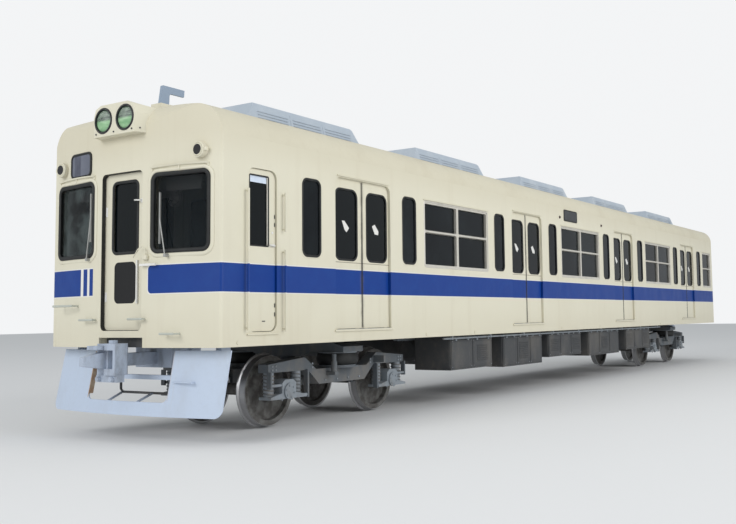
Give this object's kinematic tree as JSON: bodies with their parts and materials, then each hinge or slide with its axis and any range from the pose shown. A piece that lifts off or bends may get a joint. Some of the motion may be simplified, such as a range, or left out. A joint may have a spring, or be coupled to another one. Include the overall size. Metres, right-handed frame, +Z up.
{
  "type": "electric multiple unit car",
  "caption": "Electric commuter rail car with a driving cab, sliding passenger doors, roof coolers and air-sprung bogies.",
  "frame": {"origin": "centre of the car's length and width, at the lowest point of the wheel flanges", "axes": "+X forward to the cab end, +Y to the car's left side, +Z up"},
  "size_m": [20.32, 2.916, 4.1178],
  "materials": {
    "under_paint": "dusty dark grey paint",
    "floor_cover": "worn vinyl floor",
    "body_paint": "cream gloss paint with a blue band",
    "door_paint": "cream gloss paint with a blue band",
    "roof_paint": "weathered cream grey paint",
    "sash_metal": "satin",
    "seal_rubber": "black gasket",
    "pane_glass": "clear, slightly green",
    "lamp_metal": "bright rim with ribbed lens",
    "sign_face": "white blind behind a pane",
    "rail_paint": "white gloss",
    "wiper_black": "satin black",
    "skirt_paint": "pale grey blue, chipped",
    "coupler_steel": "pale grey, greasy",
    "cooler_paint": "pale grey, weathered",
    "aerial_paint": "grey",
    "tank_paint": "dusty dark grey",
    "bogie_paint": "dusty grey",
    "box_cast": "painted casting, dusty",
    "wheel_steel": "bright tread, rust brown web",
    "seat_fabric": "moquette",
    "rail_steel": "polished tube",
    "inner_paint": "pale green laminate",
    "desk_paint": "dull green",
    "bellows_cloth": "rubberised cloth"
  },
  "bodies": {
    "body": {"underframe": "under_paint", "floor": "floor_cover", "side_wall_left": "body_paint", "side_wall_right": "body_paint", "roof_shell": "roof_paint", "cab_end": "body_paint", "rear_end": "body_paint", "window_frames": "sash_metal", "window_seals": "seal_rubber", "window_glass": "pane_glass", "head_lamp_box": "body_paint", "lamps": "lamp_metal", "destination_boxes": "sign_face", "handrails": "rail_paint", "wipers": "wiper_black", "skirt": "skirt_paint", "couplers": "coupler_steel", "roof_coolers": "cooler_paint", "antenna": "aerial_paint", "equipment_boxes": "under_paint", "air_tanks": "tank_paint", "bench_seats": "seat_fabric", "cab_partition": "inner_paint", "driver_desk": "desk_paint", "driver_seat": "seat_fabric", "grab_rails": "rail_steel", "rear_gangway": "bellows_cloth"},
    "bogie_front": {"front_bogie_frame": "bogie_paint", "front_bogie_bolster": "bogie_paint", "front_axle_boxes": "box_cast", "front_brake_units": "bogie_paint"},
    "wheelset_front_fore": {"front_bogie_wheelset_fore": "wheel_steel"},
    "wheelset_front_aft": {"front_bogie_wheelset_aft": "wheel_steel"},
    "bogie_rear": {"rear_bogie_frame": "bogie_paint", "rear_bogie_bolster": "bogie_paint", "rear_axle_boxes": "box_cast", "rear_brake_units": "bogie_paint"},
    "wheelset_rear_fore": {"rear_bogie_wheelset_fore": "wheel_steel"},
    "wheelset_rear_aft": {"rear_bogie_wheelset_aft": "wheel_steel"},
    "door_left_1_fore": {"door_left_1_fore": "door_paint"},
    "door_left_1_aft": {"door_left_1_aft": "door_paint"},
    "door_left_2_fore": {"door_left_2_fore": "door_paint"},
    "door_left_2_aft": {"door_left_2_aft": "door_paint"},
    "door_left_3_fore": {"door_left_3_fore": "door_paint"},
    "door_left_3_aft": {"door_left_3_aft": "door_paint"},
    "door_left_4_fore": {"door_left_4_fore": "door_paint"},
    "door_left_4_aft": {"door_left_4_aft": "door_paint"},
    "door_right_1_fore": {"door_right_1_fore": "door_paint"},
    "door_right_1_aft": {"door_right_1_aft": "door_paint"},
    "door_right_2_fore": {"door_right_2_fore": "door_paint"},
    "door_right_2_aft": {"door_right_2_aft": "door_paint"},
    "door_right_3_fore": {"door_right_3_fore": "door_paint"},
    "door_right_3_aft": {"door_right_3_aft": "door_paint"},
    "door_right_4_fore": {"door_right_4_fore": "door_paint"},
    "door_right_4_aft": {"door_right_4_aft": "door_paint"},
    "crew_door_left": {"crew_door_left": "body_paint"},
    "crew_door_right": {"crew_door_right": "body_paint"},
    "front_gangway_door": {"front_gangway_door": "body_paint"},
    "rear_gangway_door": {"rear_gangway_door": "body_paint"},
    "cab_partition_door": {"cab_partition_door": "inner_paint"}
  },
  "joints": [
    {"name": "bogie_front_yaw", "type": "hinge", "parent": "body", "child": "bogie_front", "pos_m": [6.9, 0, 1.01], "axis": [0, 0, 1], "range_deg": [-4, 4]},
    {"name": "wheelset_front_fore_spin", "type": "hinge", "parent": "bogie_front", "child": "wheelset_front_fore", "pos_m": [8, 0, 0.458], "axis": [0, 1, 0], "continuous": true},
    {"name": "wheelset_front_aft_spin", "type": "hinge", "parent": "bogie_front", "child": "wheelset_front_aft", "pos_m": [5.8, 0, 0.458], "axis": [0, 1, 0], "continuous": true},
    {"name": "bogie_rear_yaw", "type": "hinge", "parent": "body", "child": "bogie_rear", "pos_m": [-6.9, 0, 1.01], "axis": [0, 0, 1], "range_deg": [-4, 4]},
    {"name": "wheelset_rear_fore_spin", "type": "hinge", "parent": "bogie_rear", "child": "wheelset_rear_fore", "pos_m": [-5.8, 0, 0.458], "axis": [0, 1, 0], "continuous": true},
    {"name": "wheelset_rear_aft_spin", "type": "hinge", "parent": "bogie_rear", "child": "wheelset_rear_aft", "pos_m": [-8, 0, 0.458], "axis": [0, 1, 0], "continuous": true},
    {"name": "door_left_1_fore_slide", "type": "slide", "parent": "body", "child": "door_left_1_fore", "axis": [1, 0, 0], "range_m": [0, 0.585]},
    {"name": "door_left_1_aft_slide", "type": "slide", "parent": "body", "child": "door_left_1_aft", "axis": [-1, 0, 0], "range_m": [0, 0.585]},
    {"name": "door_left_2_fore_slide", "type": "slide", "parent": "body", "child": "door_left_2_fore", "axis": [1, 0, 0], "range_m": [0, 0.585]},
    {"name": "door_left_2_aft_slide", "type": "slide", "parent": "body", "child": "door_left_2_aft", "axis": [-1, 0, 0], "range_m": [0, 0.585]},
    {"name": "door_left_3_fore_slide", "type": "slide", "parent": "body", "child": "door_left_3_fore", "axis": [1, 0, 0], "range_m": [0, 0.585]},
    {"name": "door_left_3_aft_slide", "type": "slide", "parent": "body", "child": "door_left_3_aft", "axis": [-1, 0, 0], "range_m": [0, 0.585]},
    {"name": "door_left_4_fore_slide", "type": "slide", "parent": "body", "child": "door_left_4_fore", "axis": [1, 0, 0], "range_m": [0, 0.585]},
    {"name": "door_left_4_aft_slide", "type": "slide", "parent": "body", "child": "door_left_4_aft", "axis": [-1, 0, 0], "range_m": [0, 0.585]},
    {"name": "door_right_1_fore_slide", "type": "slide", "parent": "body", "child": "door_right_1_fore", "axis": [1, 0, 0], "range_m": [0, 0.585]},
    {"name": "door_right_1_aft_slide", "type": "slide", "parent": "body", "child": "door_right_1_aft", "axis": [-1, 0, 0], "range_m": [0, 0.585]},
    {"name": "door_right_2_fore_slide", "type": "slide", "parent": "body", "child": "door_right_2_fore", "axis": [1, 0, 0], "range_m": [0, 0.585]},
    {"name": "door_right_2_aft_slide", "type": "slide", "parent": "body", "child": "door_right_2_aft", "axis": [-1, 0, 0], "range_m": [0, 0.585]},
    {"name": "door_right_3_fore_slide", "type": "slide", "parent": "body", "child": "door_right_3_fore", "axis": [1, 0, 0], "range_m": [0, 0.585]},
    {"name": "door_right_3_aft_slide", "type": "slide", "parent": "body", "child": "door_right_3_aft", "axis": [-1, 0, 0], "range_m": [0, 0.585]},
    {"name": "door_right_4_fore_slide", "type": "slide", "parent": "body", "child": "door_right_4_fore", "axis": [1, 0, 0], "range_m": [0, 0.585]},
    {"name": "door_right_4_aft_slide", "type": "slide", "parent": "body", "child": "door_right_4_aft", "axis": [-1, 0, 0], "range_m": [0, 0.585]},
    {"name": "crew_door_left_hinge", "type": "hinge", "parent": "body", "child": "crew_door_left", "pos_m": [9.199, 1.335, 2.1], "axis": [0, 0, 1], "range_deg": [0, 90]},
    {"name": "crew_door_right_hinge", "type": "hinge", "parent": "body", "child": "crew_door_right", "pos_m": [9.199, -1.335, 2.1], "axis": [0, 0, -1], "range_deg": [0, 90]},
    {"name": "front_gangway_door_hinge", "type": "hinge", "parent": "body", "child": "front_gangway_door", "pos_m": [9.647, -0.334, 2.1], "axis": [0, 0, 1], "range_deg": [0, 90]},
    {"name": "rear_gangway_door_hinge", "type": "hinge", "parent": "body", "child": "rear_gangway_door", "pos_m": [-9.68, -0.394, 2.1], "axis": [0, 0, -1], "range_deg": [0, 90]},
    {"name": "cab_partition_door_hinge", "type": "hinge", "parent": "body", "child": "cab_partition_door", "pos_m": [8.52, 0.294, 2.1], "axis": [0, 0, -1], "range_deg": [0, 90]}
  ],
  "couplings": [
    {"joint": "door_left_1_aft_slide", "follows": "door_left_1_fore_slide", "ratio": 1},
    {"joint": "door_left_2_fore_slide", "follows": "door_left_1_fore_slide", "ratio": 1},
    {"joint": "door_left_2_aft_slide", "follows": "door_left_1_fore_slide", "ratio": 1},
    {"joint": "door_left_3_fore_slide", "follows": "door_left_1_fore_slide", "ratio": 1},
    {"joint": "door_left_3_aft_slide", "follows": "door_left_1_fore_slide", "ratio": 1},
    {"joint": "door_left_4_fore_slide", "follows": "door_left_1_fore_slide", "ratio": 1},
    {"joint": "door_left_4_aft_slide", "follows": "door_left_1_fore_slide", "ratio": 1},
    {"joint": "door_right_1_aft_slide", "follows": "door_right_1_fore_slide", "ratio": 1},
    {"joint": "door_right_2_fore_slide", "follows": "door_right_1_fore_slide", "ratio": 1},
    {"joint": "door_right_2_aft_slide", "follows": "door_right_1_fore_slide", "ratio": 1},
    {"joint": "door_right_3_fore_slide", "follows": "door_right_1_fore_slide", "ratio": 1},
    {"joint": "door_right_3_aft_slide", "follows": "door_right_1_fore_slide", "ratio": 1},
    {"joint": "door_right_4_fore_slide", "follows": "door_right_1_fore_slide", "ratio": 1},
    {"joint": "door_right_4_aft_slide", "follows": "door_right_1_fore_slide", "ratio": 1}
  ]
}
